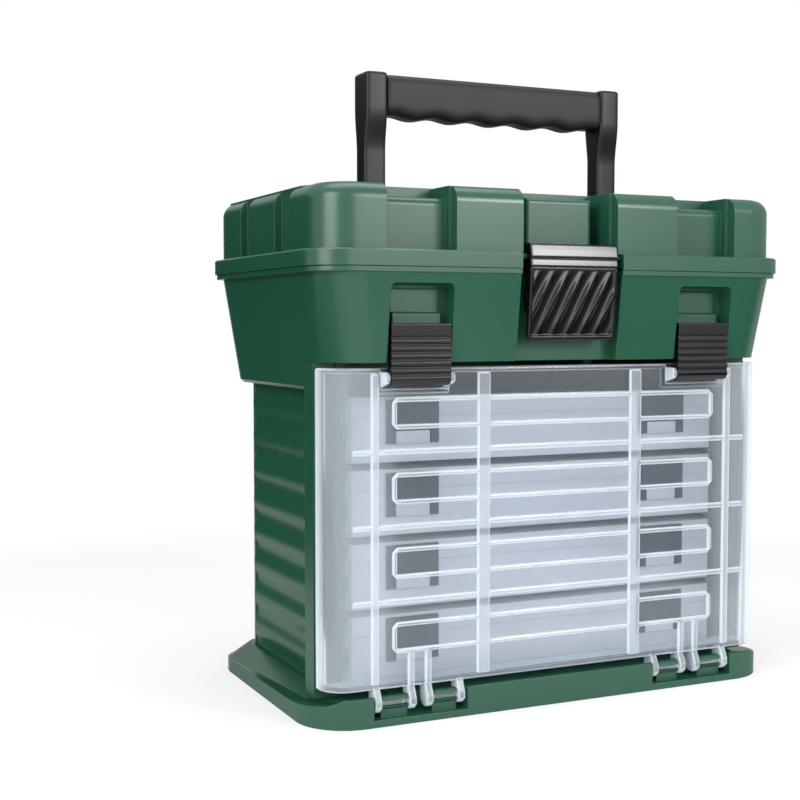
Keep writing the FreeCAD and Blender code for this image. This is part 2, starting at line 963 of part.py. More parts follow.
def main_latch():
    """The broad lid latch: a rounded barrel at the top, side walls, diagonal grip ridges and a hook."""
    half = main_latch_width / 2
    y, z, r = main_axis_y, main_axis_z, main_latch_barrel
    front = y - r
    root = z - 8.0
    foot = z + r - main_latch_length
    thick = main_latch_thick
    k = r * math.sqrt(0.5)
    blade = side_shape(
        [
            (y + k, z + k),
            (y - k * 0.54, z + r * 0.924, front, z),
            (front - 0.2, z - 4.2),
            (front + 0.8, z - 4.6),
            (front + 0.8, z - 5.4),
            (front, z - 5.8),
            (front + 0.2, root),
            (front + 1.2, root - 0.8),
            (front + 1.8, foot + 1.5),
            (front + 3.2, foot),
            (front + 1.8 + thick, foot),
            (front + 1.2 + thick, root - 1.5),
            (y + k, z - k),
            (y + r, z, y + k, z + k),
        ],
        -half,
        half,
    )
    side = side_shape(
        [
            (front + 1.4, root - 1.5),
            (front + main_latch_side, root - 5),
            (front + main_latch_side, foot + 12),
            (front + 2.5, foot + 1),
        ],
        half - 2.0,
        half,
    )
    hook_z = tub_top - main_catch_drop
    tip = main_hook_back()
    hook = side_shape(
        [
            (front + thick, hook_z - 6),
            (tip, hook_z - 2),
            (tip, hook_z + 2),
            (front + thick, hook_z + 4),
        ],
        -14,
        14,
    )
    latch = join([blade, hook] + both(side))
    step = main_latch_width / main_latch_ridges
    low, high = foot + 2.5, root - 1.5
    lean = (high - low) / math.tan(math.radians(main_ridge_angle))
    keep = box(-half + 1.5, half - 1.5, front, y, low, high)
    ridges = []
    for i in range(-2, main_latch_ridges + 1):
        x = -half + i * step
        corners = ((x, low), (x + step / 2, low), (x + step / 2 + lean, high), (x + lean, high))
        ring = [Vector(cx, front + main_ridge_face, cz) for cx, cz in corners]
        ridge = Part.Face(Part.makePolygon(ring + ring[:1])).extrude(Vector(0, thick, 0)).common(keep)
        if ridge.Volume > 1:
            ridges.append(ridge)
    latch = join([latch] + ridges)
    return latch.cut(rod(-half - 1, half + 1, y, z, main_pin_radius + running_fit))


def handle_side(width_head, width_neck, x0, x1):
    """Side outline of a handle post from its round foot to its deep head."""
    y = handle_y
    head = width_head / 2
    neck = width_neck / 2
    foot = pivot_radius
    shoulder = handle_top - grip_height - 6
    k = foot * 0.6
    kz = foot * 0.8
    return side_shape(
        [
            (y - head + 2, handle_top),
            (y - head + 0.6, handle_top - 0.6, y - head, handle_top - 2),
            (y - head, handle_top - grip_height + 8),
            (y - neck - 1.4, shoulder + 3, y - neck, shoulder - 12),
            (y - neck, pivot_z + foot * 1.6),
            (y - foot, pivot_z),
            (y, pivot_z - foot, y + foot, pivot_z),
            (y + neck, pivot_z + foot * 1.6),
            (y + neck, shoulder - 12),
            (y + neck + 1.4, shoulder + 3, y + head, handle_top - grip_height + 8),
            (y + head, handle_top - 2),
            (y + head - 0.6, handle_top - 0.6, y + head - 2, handle_top),
        ],
        x0,
        x1,
    )


def handle_post(side):
    """One handle post, with its moulded pivot and the stub that the grip sleeve slides over."""
    x0 = handle_half_width - post_width
    x1 = handle_half_width
    post = handle_side(handle_head, handle_neck, x0, x1)
    z1 = handle_top - 3.0
    z0 = handle_top - grip_height + 6.0
    stub = box(x0 - sleeve_gap - 8, x0 + 1, handle_y - handle_head / 2 + 3, handle_y + handle_head / 2 - 3, z0, z1)
    pivot = rod(x1 - post_width / 2, well_half + pivot_length, handle_y, pivot_z, pivot_pin_radius)
    post = join([post, stub, pivot])
    return post if side > 0 else mirrored(post)


def handle_grip():
    """The grip sleeve between the posts, with a wave of finger bulges below."""
    half = handle_half_width - post_width
    top = handle_top
    low = top - grip_height + grip_bulge
    edges = [line(Vector(half, 0, low), Vector(half, 0, top)), line(Vector(half, 0, top), Vector(-half, 0, top))]
    edges.append(line(Vector(-half, 0, top), Vector(-half, 0, low)))
    here = Vector(-half, 0, low)
    first = -grip_pitch * (grip_bulges - 1) / 2
    for i in range(grip_bulges):
        middle = first + i * grip_pitch
        reach = grip_pitch / 2 - 1.5
        start = Vector(middle - reach, 0, low)
        edges.append(line(here, start))
        end = Vector(middle + reach, 0, low)
        edges.append(arc(start, Vector(middle, 0, low - grip_bulge), end))
        here = end
    edges.append(line(here, Vector(half, 0, low)))
    face = Part.Face(Part.Wire(edges))
    depth = handle_head
    grip = face.extrude(Vector(0, depth, 0))
    grip.translate(Vector(0, handle_y - depth / 2, 0))
    grip = fillet(
        grip,
        grip_round,
        lambda e: abs(e.BoundBox.ZMin - top) < 0.01 and e.Length > 2 * half - 1,
    )
    z1 = handle_top - 3.0
    z0 = handle_top - grip_height + 6.0
    socket = box(half - sleeve_gap - 8.5, half + 1, handle_y - handle_head / 2 + 3, handle_y + handle_head / 2 - 3, z0, z1)
    return grip.cut(Part.Compound(both(socket)))


def door_block(inset):
    """The space inside the door's skin, moved inwards by an inset and still long at the back."""
    outline = rounded(
        -door_half + inset,
        door_half - inset,
        door_face + inset,
        door_rear + 2 * door_round,
        door_round - inset,
        door_bottom + inset,
    )
    return plate(outline, door_top - door_bottom - 2 * inset)


def frame(x0, x1, z0, z1, width, radius):
    """A raised line round a rectangle on the door face."""
    depth = rib_height + door_wall / 2
    y = door_face - rib_height
    slab = plate(slanted(x0, x1, z0, z1, radius, 0), depth)
    slab.rotate(Vector(0, 0, 0), Vector(1, 0, 0), 90)
    slab.translate(Vector(0, y + depth, 0))
    return slab.cut(box(x0 + width, x1 - width, y - 1, y + depth + 1, z0 + width, z1 - width))


def front_door():
    """The clear tray-shaped door with its ribs, loops, latch pockets, ears, legs and hinge bars."""
    outer = chamfer(
        door_block(0),
        door_edge,
        lambda e: level_edge(door_bottom)(e) or level_edge(door_top)(e),
    )
    outer = outer.common(box(-far, far, -far, door_rear, -far, far))
    tray = outer.cut(door_block(door_wall))
    face_y = door_face - rib_height
    depth = rib_height + door_wall / 2
    ribs = []
    rib_low = door_bottom + 3
    rib_high = door_top - 3
    for x, width in ((rib_outer_x, rib_outer_width), (rib_inner_x, rib_inner_width)):
        for side in (-1, 1):
            ribs.append(box(side * x - width / 2, side * x + width / 2, face_y, face_y + depth, rib_low, rib_high))
    span = door_half - door_round
    for i in range(1, box_count):
        z = box_z(i) + loop_drop + 5.9
        ribs.append(box(-span, span, face_y + 0.4, face_y + depth, z - cross_rib_width / 2, z + cross_rib_width / 2))
    for i in range(box_count):
        top = box_z(i) + box_height + loop_drop - 1.0
        ribs.append(frame(-loop_half_width, loop_half_width, top - loop_height, top, loop_line, loop_corner))
    for x in (leg_inner_x[1], leg_outer_x[0]):
        for side in (-1, 1):
            top = box_z(0) + box_height + loop_drop - 1.0 - loop_height
            ribs.append(box(side * x - 1.5, side * x + 1.5, face_y, face_y + depth, door_bottom + 1, top + 0.5))
    door = join([tray] + ribs)
    pocket_half = door_latch_width / 2 + ear_gap + ear_thick
    pocket_low = door_latch_axis_z - pocket_below
    adds = []
    cuts = []
    for side in (-1, 1):
        x0 = side * door_latch_x - pocket_half
        x1 = side * door_latch_x + pocket_half
        cuts.append(box(x0, x1, door_face - 5, door_face + pocket_depth, pocket_low, far))
        plate_y = door_face + pocket_depth
        adds.append(box(x0 - 1, x1 + 1, plate_y, plate_y + door_wall, pocket_low - door_wall, door_top))
        for ear_x in (x0, x1 - ear_thick):
            adds.append(latch_ear(ear_x))
    door = door.cut(Part.Compound(cuts))
    adds += [door_leg(side * x) for x in leg_inner_x + leg_outer_x for side in (-1, 1)]
    for inner_x, outer_x in (leg_inner_x, leg_outer_x):
        adds += both(rod(inner_x, outer_x, axis_y, axis_z, hinge_bar_radius))
    half = door_latch_width / 2 + ear_gap + ear_thick / 2
    bar = rod(door_latch_x - half, door_latch_x + half, door_latch_axis_y, door_latch_axis_z, latch_pin_radius)
    return join([door] + adds + both(bar))


def latch_ear(x):
    """A rounded ear that carries one end of a door latch's bar."""
    y, z = door_latch_axis_y, door_latch_axis_z
    r = door_latch_radius - 0.8
    back = door_face + pocket_depth + 0.5
    return side_shape(
        [(back, z + r), (y, z + r), (y - r, z, y, z - r), (back, z - r - 2)],
        x,
        x + ear_thick,
    )


def door_leg(x):
    """A hinge leg from the door's lower edge down round the hinge axis, with slanted toes."""
    r = leg_radius
    toe = math.sqrt(2) - 1
    top = door_bottom + door_wall
    return side_shape(
        [
            (door_face + 0.3, top),
            (axis_y - r, axis_z + 1.5),
            (axis_y - r, axis_z - r * toe),
            (axis_y - r * toe, axis_z - r),
            (axis_y + r * toe, axis_z - r),
            (axis_y + r, axis_z - r * toe),
            (axis_y + r + 1.5, top),
        ],
        x - leg_width / 2,
        x + leg_width / 2,
    )


def door_latch(side):
    """A door latch: barrel at its foot, ribbed blade and a hook at its top end."""
    y, z = door_latch_axis_y, door_latch_axis_z
    r = door_latch_radius
    x0 = side * door_latch_x - door_latch_width / 2
    x1 = x0 + door_latch_width
    front = door_face - door_latch_front
    top = z + door_latch_top + r
    back = front + door_latch_thick
    rib_top = top - 6.2
    pitch = (rib_top - (z - r * 0.3)) / door_latch_ribs
    outline = [(front + 0.6, top), (front, top - 0.8), (front, rib_top)]
    for i in range(door_latch_ribs):
        low = rib_top - (i + 1) * pitch
        outline.append((front + door_latch_rib, low + pitch * 0.8))
        outline.append((front, low + pitch * 0.35))
        outline.append((front, max(low, z)))
    outline += [
        (y - r * 0.707, z - r * 0.707, y, z - r),
        (y + r * 0.707, z - r * 0.707, y + r, z),
        (y + r * 0.7, z + r * 0.9),
        (back, z + r * 1.8),
        (back, top - 5),
        (back + door_latch_hook, top - 3.5),
        (back + door_latch_hook, top - 0.6),
    ]
    blade = side_shape(outline, x0, x1)
    return blade.cut(rod(x0 - 1, x1 + 1, y, z, latch_pin_radius + running_fit))


def shell_box(z0, height, open_top):
    """An open tray with slanted corners, or a lid when it opens downwards."""
    half = box_width / 2
    y0, y1 = box_front, box_front + box_depth
    outer = plate(slanted(-half, half, y0, y1, box_corner, z0), height)
    room_z = z0 + box_wall if open_top else z0 - 1
    inner_cut = box_corner - box_wall * corner_share
    room = plate(
        slanted(-half + box_wall, half - box_wall, y0 + box_wall, y1 - box_wall, inner_cut, room_z),
        height - box_wall + 1,
    )
    return outer.cut(room)


def utility_tray(i):
    """The tray of a utility box, with its front catches and rear hinge ears."""
    z = box_z(i)
    parts = [shell_box(z, box_tray_height, True)]
    half = box_latch_width / 2 - box_latch_leg - part_gap
    catch_top = z + box_height - box_latch_top_gap - box_latch_plate - part_gap
    for side in (-1, 1):
        x = side * box_latch_x
        parts.append(box(
            x - half,
            x + half,
            box_front - box_catch_depth,
            box_front + 0.5,
            catch_top - box_catch_height,
            catch_top,
        ))
    y1 = box_front + box_depth
    for side in (-1, 1):
        for end in (-1, 1):
            x = side * box_hinge_x + end * (box_hinge_width / 2 + part_gap + box_ear / 2)
            parts.append(box(
                x - box_ear / 2,
                x + box_ear / 2,
                y1 - box_wall / 2,
                y1 + box_hinge_size,
                z + box_tray_height - box_hinge_size,
                z + box_tray_height,
            ))
    return join(parts)


def utility_lid(i):
    """The shallow lid of a utility box, with the hinge lugs that turn between the tray's ears."""
    z = box_z(i) + box_tray_height
    parts = [shell_box(z, box_lid_height, False)]
    y1 = box_front + box_depth
    for side in (-1, 1):
        x0 = side * box_hinge_x - box_hinge_width / 2
        x1 = x0 + box_hinge_width
        parts.append(box(x0, x1, y1 - box_wall / 2, y1 + box_hinge_size, z, z + box_hinge_size))
    return join(parts)


def utility_dividers(i):
    """The two long dividers that stand across a tray and split it into rows."""
    z = box_z(i) + box_wall
    half = box_width / 2 - box_wall
    strips = []
    for y in row_walls():
        strips.append(box(-half, half, y - box_wall / 2, y + box_wall / 2, z, z + box_tray_height - box_wall))
    return Part.Compound(strips)


def utility_latches(i):
    """The two dark latches of a utility box: a plate with two legs round the catch."""
    top = box_z(i) + box_height - box_latch_top_gap
    shapes = []
    half = box_latch_width / 2
    for side in (-1, 1):
        x = side * box_latch_x
        y0 = box_front - box_latch_thick
        y1 = box_front
        blade = box(x - half, x + half, y0, y1, top - box_latch_length, top)
        slot = box(
            x - half + box_latch_leg,
            x + half - box_latch_leg,
            y0 - 1,
            y1 + 1,
            top - box_latch_length - 1,
            top - box_latch_plate,
        )
        blade = blade.cut(slot)
        shapes.append(blade)
    return Part.Compound(shapes)


def row_walls():
    """Y of the long dividers."""
    pitch = (box_depth - 2 * box_wall) / box_rows
    return [box_front + box_wall + pitch * k for k in range(1, box_rows)]


save("base_plinth", base_plinth())
save("cabinet_shell", cabinet_shell())
save("upper_tub", upper_tub())
save("latch_catches", latch_catches())
save("lid_shell", lid_shell())
save("main_latch", main_latch())
save("handle_post_left", handle_post(-1))
save("handle_post_right", handle_post(1))
save("handle_grip", handle_grip())
save("front_door", front_door())
save("door_latch_left", door_latch(-1))
save("door_latch_right", door_latch(1))
for number in range(box_count):
    label = "utility_box_" + str(number + 1)
    save(label + "_tray", utility_tray(number))
    save(label + "_dividers", utility_dividers(number))
    save(label + "_lid", utility_lid(number))
    save(label + "_latches", utility_latches(number))
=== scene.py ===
# %% [markdown]
# # Dressing a moulded seat box for its picture
# The object is a green fishing seat box. It has a hinged seat lid with a fold-down
# handle, an open tub, and a clear door over four small utility boxes. All of its
# solids come from a CAD model, which this script loads as a fixed frame. Blender's
# work is the finish: soft edges, real plastics, light, and the few pieces whose
# curved skins a surface in numpy gives better than a CAD solid.

# %% Load the frame
import math

import bpy
import numpy as np
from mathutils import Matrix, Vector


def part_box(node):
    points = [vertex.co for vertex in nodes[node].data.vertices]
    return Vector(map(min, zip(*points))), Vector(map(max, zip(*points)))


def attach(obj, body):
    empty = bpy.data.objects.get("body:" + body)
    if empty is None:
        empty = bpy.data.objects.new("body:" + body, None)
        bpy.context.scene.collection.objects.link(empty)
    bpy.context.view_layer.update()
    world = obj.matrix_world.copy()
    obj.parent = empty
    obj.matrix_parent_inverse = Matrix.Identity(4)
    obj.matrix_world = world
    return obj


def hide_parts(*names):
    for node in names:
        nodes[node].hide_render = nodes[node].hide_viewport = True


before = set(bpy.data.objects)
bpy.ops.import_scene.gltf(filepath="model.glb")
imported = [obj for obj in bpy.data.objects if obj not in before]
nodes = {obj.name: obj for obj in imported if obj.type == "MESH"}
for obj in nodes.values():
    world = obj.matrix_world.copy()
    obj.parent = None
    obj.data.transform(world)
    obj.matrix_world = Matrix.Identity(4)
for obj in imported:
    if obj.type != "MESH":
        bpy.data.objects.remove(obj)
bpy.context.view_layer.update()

print("pieces in the frame:", len(nodes))

# %% [markdown]
# Every size below is in millimetres, because that is how a mould maker talks about
# a moulded box, and one constant turns it into Blender's metres. Colours are
# written as the sRGB hex values that a colour picker shows. Shaders want linear
# light, so one function turns them: each channel is divided by 255, then raised by
# the sRGB curve.

# %% Millimetres and colours
MM = 0.001


def linear(code):
    """sRGB hex to linear RGBA: c / 12.92 when dark, else ((c + 0.055) / 1.055) ** 2.4."""
    value = np.array([int(code[i:i + 2], 16) for i in (1, 3, 5)]) / 255
    curve = np.where(value <= 0.04045, value / 12.92, ((value + 0.055) / 1.055) ** 2.4)
    return (*curve, 1.0)


def span(node):
    """The lowest and highest corners of a CAD node, in millimetres."""
    low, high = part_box(node)
    return np.array(low) / MM, np.array(high) / MM


# %% [markdown]
# The picture was taken from in front and to the left, a little above the door and
# almost level, with a longish lens that keeps the uprights straight. The numbers
# come from matching known corners of the box, so the camera stands about 0.8 m
# away. A camera could also be aimed with a constraint, but a place and three angles
# are easier to read and change.

# %% Camera
lens_mm = 60.96
camera_place = (-374.1, -683.2, 199.8)
camera_down = 3.25
camera_turn = 24.86

camera = bpy.data.objects.new("camera", bpy.data.cameras.new("camera"))
bpy.context.scene.collection.objects.link(camera)
camera.data.lens = lens_mm
camera.data.sensor_width = 36
camera.data.clip_start = 0.02
camera.location = [c * MM for c in camera_place]
camera.rotation_euler = (math.radians(90 - camera_down), 0, -math.radians(camera_turn))
bpy.context.scene.camera = camera
bpy.context.scene.view_settings.view_transform = "Standard"

# %% [markdown]
# A material here is a small node tree. One function adds a node, sets what it is
# given by name and wires its inputs, so a tree reads from top to bottom like a
# recipe. A value that is an output socket becomes a link; anything else is a
# setting on the socket or on the node.

# %% One function that adds a node
def add(tree, kind, inputs=None, **settings):
    """Adds a node of that kind. Inputs are {socket name or number: value or output}."""
    node = tree.nodes.new(kind)
    for name, value in settings.items():
        setattr(node, name, value)
    for name, value in (inputs or {}).items():
        if isinstance(value, bpy.types.NodeSocket):
            tree.links.new(value, node.inputs[name])
        else:
            node.inputs[name].default_value = value
    return node


def new_material(name):
    """An empty material, and the tree to build it in."""
    material = bpy.data.materials.new(name)
    material.use_nodes = True
    tree = material.node_tree
    tree.nodes.clear()
    return material, tree


def close(tree, shader):
    """Wires a shader to the material's output."""
    add(tree, "ShaderNodeOutputMaterial", {"Surface": shader})


# %% [markdown]
# **Light.** Catalogue pictures of glossy plastic are lit by large soft sources,
# because a gloss surface shows the shape of the lamp. The upright front of the lid
# shines towards a camera on the left only if a lamp stands low on the right, where a
# mirror on the lid would send the line of sight. That is the key lamp, with a small
# bright strip beside it for the latch's cap. A wide fill on the left keeps the wavy
# side wall readable, and one overhead draws the top edges. A lamp's brightness is set
# as radiance, the brightness that a mirror would show, and the power follows as
# radiance x pi x area. The world is a dim pale grey for matt surfaces, and plain
# white where the camera, a gloss or a view through clear plastic meets it, which the
# Light Path node sorts out.

# %% World and lamps
ambient = 0.34


def sees_backdrop(tree):
    """1 for camera, glossy and transmission rays, else 0: the largest of the three flags."""
    path = add(tree, "ShaderNodeLightPath").outputs
    first = add(tree, "ShaderNodeMath", {
        0: path["Is Camera Ray"], 1: path["Is Transmission Ray"],
    }, operation="MAXIMUM")
    both = add(tree, "ShaderNodeMath", {
        0: first.outputs[0], 1: path["Is Glossy Ray"],
    }, operation="MAXIMUM")
    return both.outputs[0]


world = bpy.data.worlds.new("studio")
bpy.context.scene.world = world
world.use_nodes = True
tree = world.node_tree
tree.nodes.clear()
level = add(tree, "ShaderNodeMix", {"Factor": sees_backdrop(tree), 2: ambient, 3: 1.0})
sky = add(tree, "ShaderNodeBackground", {"Color": linear("#ffffff"), "Strength": level.outputs[0]})
add(tree, "ShaderNodeOutputWorld", {"Surface": sky.outputs[0]})


def softbox(name, place, target, width, height, radiance):
    """A rectangular lamp at a place in mm, turned to face a target."""
    lamp = bpy.data.lights.new(name, "AREA")
    lamp.shape = "RECTANGLE"
    lamp.size, lamp.size_y = width * MM, height * MM
    lamp.energy = radiance * math.pi * width * height * MM ** 2
    obj = bpy.data.objects.new(name, lamp)
    bpy.context.scene.collection.objects.link(obj)
    obj.location = [c * MM for c in place]
    aim = np.array(target) - np.array(place)
    turn = math.atan2(aim[0], aim[1])
    tilt = math.atan2(-aim[2], math.hypot(aim[0], aim[1]))
    obj.rotation_euler = (math.pi / 2 - tilt, 0, -turn)
    print(name, "power in W:", round(lamp.energy, 1))


middle = (0, 0, 200)
softbox("key_lamp", (225, -1140, 540), middle, 850, 420, 5.2)
softbox("strip_lamp", (680, -1160, 660), middle, 180, 220, 30.0)
softbox("fill_lamp", (-1500, -700, 700), middle, 900, 900, 6.5)
softbox("top_lamp", (0, 100, 1500), middle, 1400, 900, 3.2)

# %% [markdown]
# **Black cards.** A white studio mirrors in every slanting plastic wall and greys it.
# Photographers put black cards where the walls would mirror the room, just outside
# the picture: one stands behind the box on its left, for the side wall, and two lie
# on the floor, one for that wall and one for the tub's front, which leans forward. The
# cards hide from the camera itself. From the other sides of the box only the shade
# that they leave on the floor can show, as a pale grey patch.

# %% Black cards beside the box
upright = [(-165, 900, 0), (-1200, 600, 0), (-1200, 600, 520), (-165, 900, 520)]
left_floor = [(-350, -350, 1), (-165, 900, 1), (-1200, 900, 1), (-1200, -350, 1)]
right_floor = [(260, -3000, 1), (3000, -3000, 1), (3000, -260, 1), (260, -260, 1)]
points = np.array(upright + left_floor + right_floor) * MM
cards = bpy.data.meshes.new("black_cards")
cards.from_pydata(points.tolist(), [], [(0, 1, 2, 3), (4, 5, 6, 7), (8, 9, 10, 11)])
black_cards = bpy.data.objects.new("black_cards", cards)
bpy.context.scene.collection.objects.link(black_cards)
black_cards.visible_camera = False

# %% [markdown]
# **Floor.** The box stands on white card. A white surface alone would show its far
# edge against the world, so the card turns to plain white with distance: a blend
# from a matt white near the box, where its shadow falls, to an even white glow,
# which only the camera, a gloss and clear plastic see.

# %% Floor
floor_half = 6000
shadow_reach = (300, 620)
near_glow = 0.62
corners = np.array([(-1, -1, 0), (1, -1, 0), (1, 1, 0), (-1, 1, 0)]) * floor_half * MM
mesh = bpy.data.meshes.new("floor")
mesh.from_pydata(corners.tolist(), [], [(0, 1, 2, 3)])
floor = bpy.data.objects.new("floor", mesh)
bpy.context.scene.collection.objects.link(floor)

card, tree = new_material("white_card")
place = add(tree, "ShaderNodeTexCoord").outputs["Object"]
distance = add(tree, "ShaderNodeVectorMath", {0: place}, operation="LENGTH").outputs["Value"]
far = add(tree, "ShaderNodeMapRange", {
    "Value": distance, "From Min": shadow_reach[0] * MM, "From Max": shadow_reach[1] * MM,
}, interpolation_type="SMOOTHSTEP")
matt = add(tree, "ShaderNodeBsdfDiffuse", {"Color": linear("#ffffff")})
glow = add(tree, "ShaderNodeEmission", {"Color": linear("#ffffff"), "Strength": 1.0})
seen = sees_backdrop(tree)
share = add(tree, "ShaderNodeMath", {0: far.outputs[0], 1: seen}, operation="MULTIPLY")
near = add(tree, "ShaderNodeMath", {0: seen, 1: near_glow}, operation="MULTIPLY")
amount = add(tree, "ShaderNodeMath", {
    0: share.outputs[0], 1: near.outputs[0],
}, operation="MAXIMUM")
blend = add(tree, "ShaderNodeMixShader", {
    0: amount.outputs[0], 1: matt.outputs[0], 2: glow.outputs[0],
})
close(tree, blend.outputs[0])
floor.data.materials.append(card)

velvet, tree = new_material("black_velvet")
close(tree, add(tree, "ShaderNodeBsdfDiffuse", {"Color": linear("#1c1c1c")}).outputs[0])
black_cards.data.materials.append(velvet)

# %% [markdown]
# ** Moulded green plastic.** The case, tub and lid are polypropylene, injection
# moulded in a green masterbatch. The mould's faces are finely eroded, so the skin
# is a soft satin with a grain of about 0.4 mm, and the colour drifts a little where
# the melt flowed further. The grain is bump only. It is drawn at 0.6 mm, slightly
# coarser than real, because anything finer falls between the pixels. A mould is never
# quite sharp either: its corners are eased by half a millimetre, and those thin
# rounds catch a line of light along every edge. The CAD solids leave them out to stay
# light, so a Bevel node puts them back: near an edge it averages the directions of
# the faces within the eased width. A Bevel modifier would cut real rounds, but on a
# shell with long thin triangles it leaves splinters. The gloss fades at a slant by
# Layer Weight and doesn't rise as on glass. This is painted shade, which takes the
# studio's reflection off walls that are seen aslant.

# %% Material: satin polypropylene
def satin_plastic(name, colour, drift, roughness, grain_mm, grain_depth_mm, specular=0.4, eased_mm=0.5):
    """Opaque moulded plastic: a slow colour drift, a fine grain, an uneven gloss and eased edges."""
    material, tree = new_material(name)
    place = add(tree, "ShaderNodeTexCoord").outputs["Object"]
    flow = add(tree, "ShaderNodeTexNoise", {"Vector": place, "Scale": 1 / (90 * MM), "Detail": 2.0})
    tone = add(tree, "ShaderNodeMix", {"Factor": flow.outputs["Fac"], 6: linear(colour), 7: linear(drift)},
               data_type="RGBA")
    grain = add(tree, "ShaderNodeTexNoise", {
        "Vector": place, "Scale": 1 / (grain_mm * MM), "Detail": 2.0, "Roughness": 0.6,
    })
    edge = add(tree, "ShaderNodeBevel", {"Radius": eased_mm * MM}, samples=6)
    bump = add(tree, "ShaderNodeBump", {
        "Height": grain.outputs["Fac"], "Strength": 0.5, "Distance": grain_depth_mm * MM,
        "Normal": edge.outputs[0],
    })
    gloss = add(tree, "ShaderNodeMapRange", {
        "Value": flow.outputs["Fac"], "To Min": roughness - 0.03, "To Max": roughness + 0.03,
    })
    # Painted shade: on walls seen at a slant the gloss falls to 0.15 of its front value, so they mirror
    # less of the studio.
    facing = add(tree, "ShaderNodeLayerWeight", {"Blend": 0.5}).outputs["Facing"]
    gloss_with_painted_slant_shade = add(tree, "ShaderNodeMapRange", {
        "Value": facing, "From Min": 0.35, "From Max": 0.7,
        "To Min": specular, "To Max": specular * 0.15,
    })
    surface = add(tree, "ShaderNodeBsdfPrincipled", {
        "Base Color": tone.outputs[2], "Roughness": gloss.outputs[0], "IOR": 1.49,
        "Normal": bump.outputs[0], "Specular IOR Level": gloss_with_painted_slant_shade.outputs[0],
    })
    close(tree, surface.outputs[0])
    return material


green_plastic = satin_plastic("satin_green_polypropylene", "#22543f", "#1f4e3a", 0.28, 0.6, 0.03, 0.55)
black_plastic = satin_plastic("satin_black_polypropylene", "#101011", "#151517", 0.34, 0.6, 0.03, 0.28)
latch_plastic = satin_plastic("polished_black_acetal", "#070708", "#0a0a0b", 0.22, 0.5, 0.01, 0.5, 0.5)

# %% [markdown]
# **Rubber sleeve.** The grip between the handle posts is a softer, more matt
# moulding than the posts. It is almost black, and scatters the light of the big
# lamp into a wide grey band along its top.

# %% Material: grip rubber
grip_rubber = satin_plastic("matt_grip_rubber", "#1c1c1d", "#212122", 0.5, 0.5, 0.03, 0.35)

# %% [markdown]
# **Clear door.** The door is a clear grade of the same plastic family, a little
# milky and blue. Real refraction through a thin wall hardly bends the view, so the
# wall is made of a see-through shader with a thin milky share, and gloss on top.
# The share grows with Layer Weight, because a slanting line of sight passes through
# more plastic. Light that is caught in the wall leaves it at the edges, so every rib
# and border carries a bright line. A Bevel node finds the edges: where the direction
# that it gives differs from the face's own, an edge is near. The ribs are thicker
# too, so what stands in front of the door's plain face, by Object coordinates, gets
# a larger share, and so do the two ends of the door, where the side walls return.
# How much the ends get was matched to the picture.

# %% Material: clear door plastic
rib_share = 0.25
end_share = 0.17
end_reach = (92, 108)


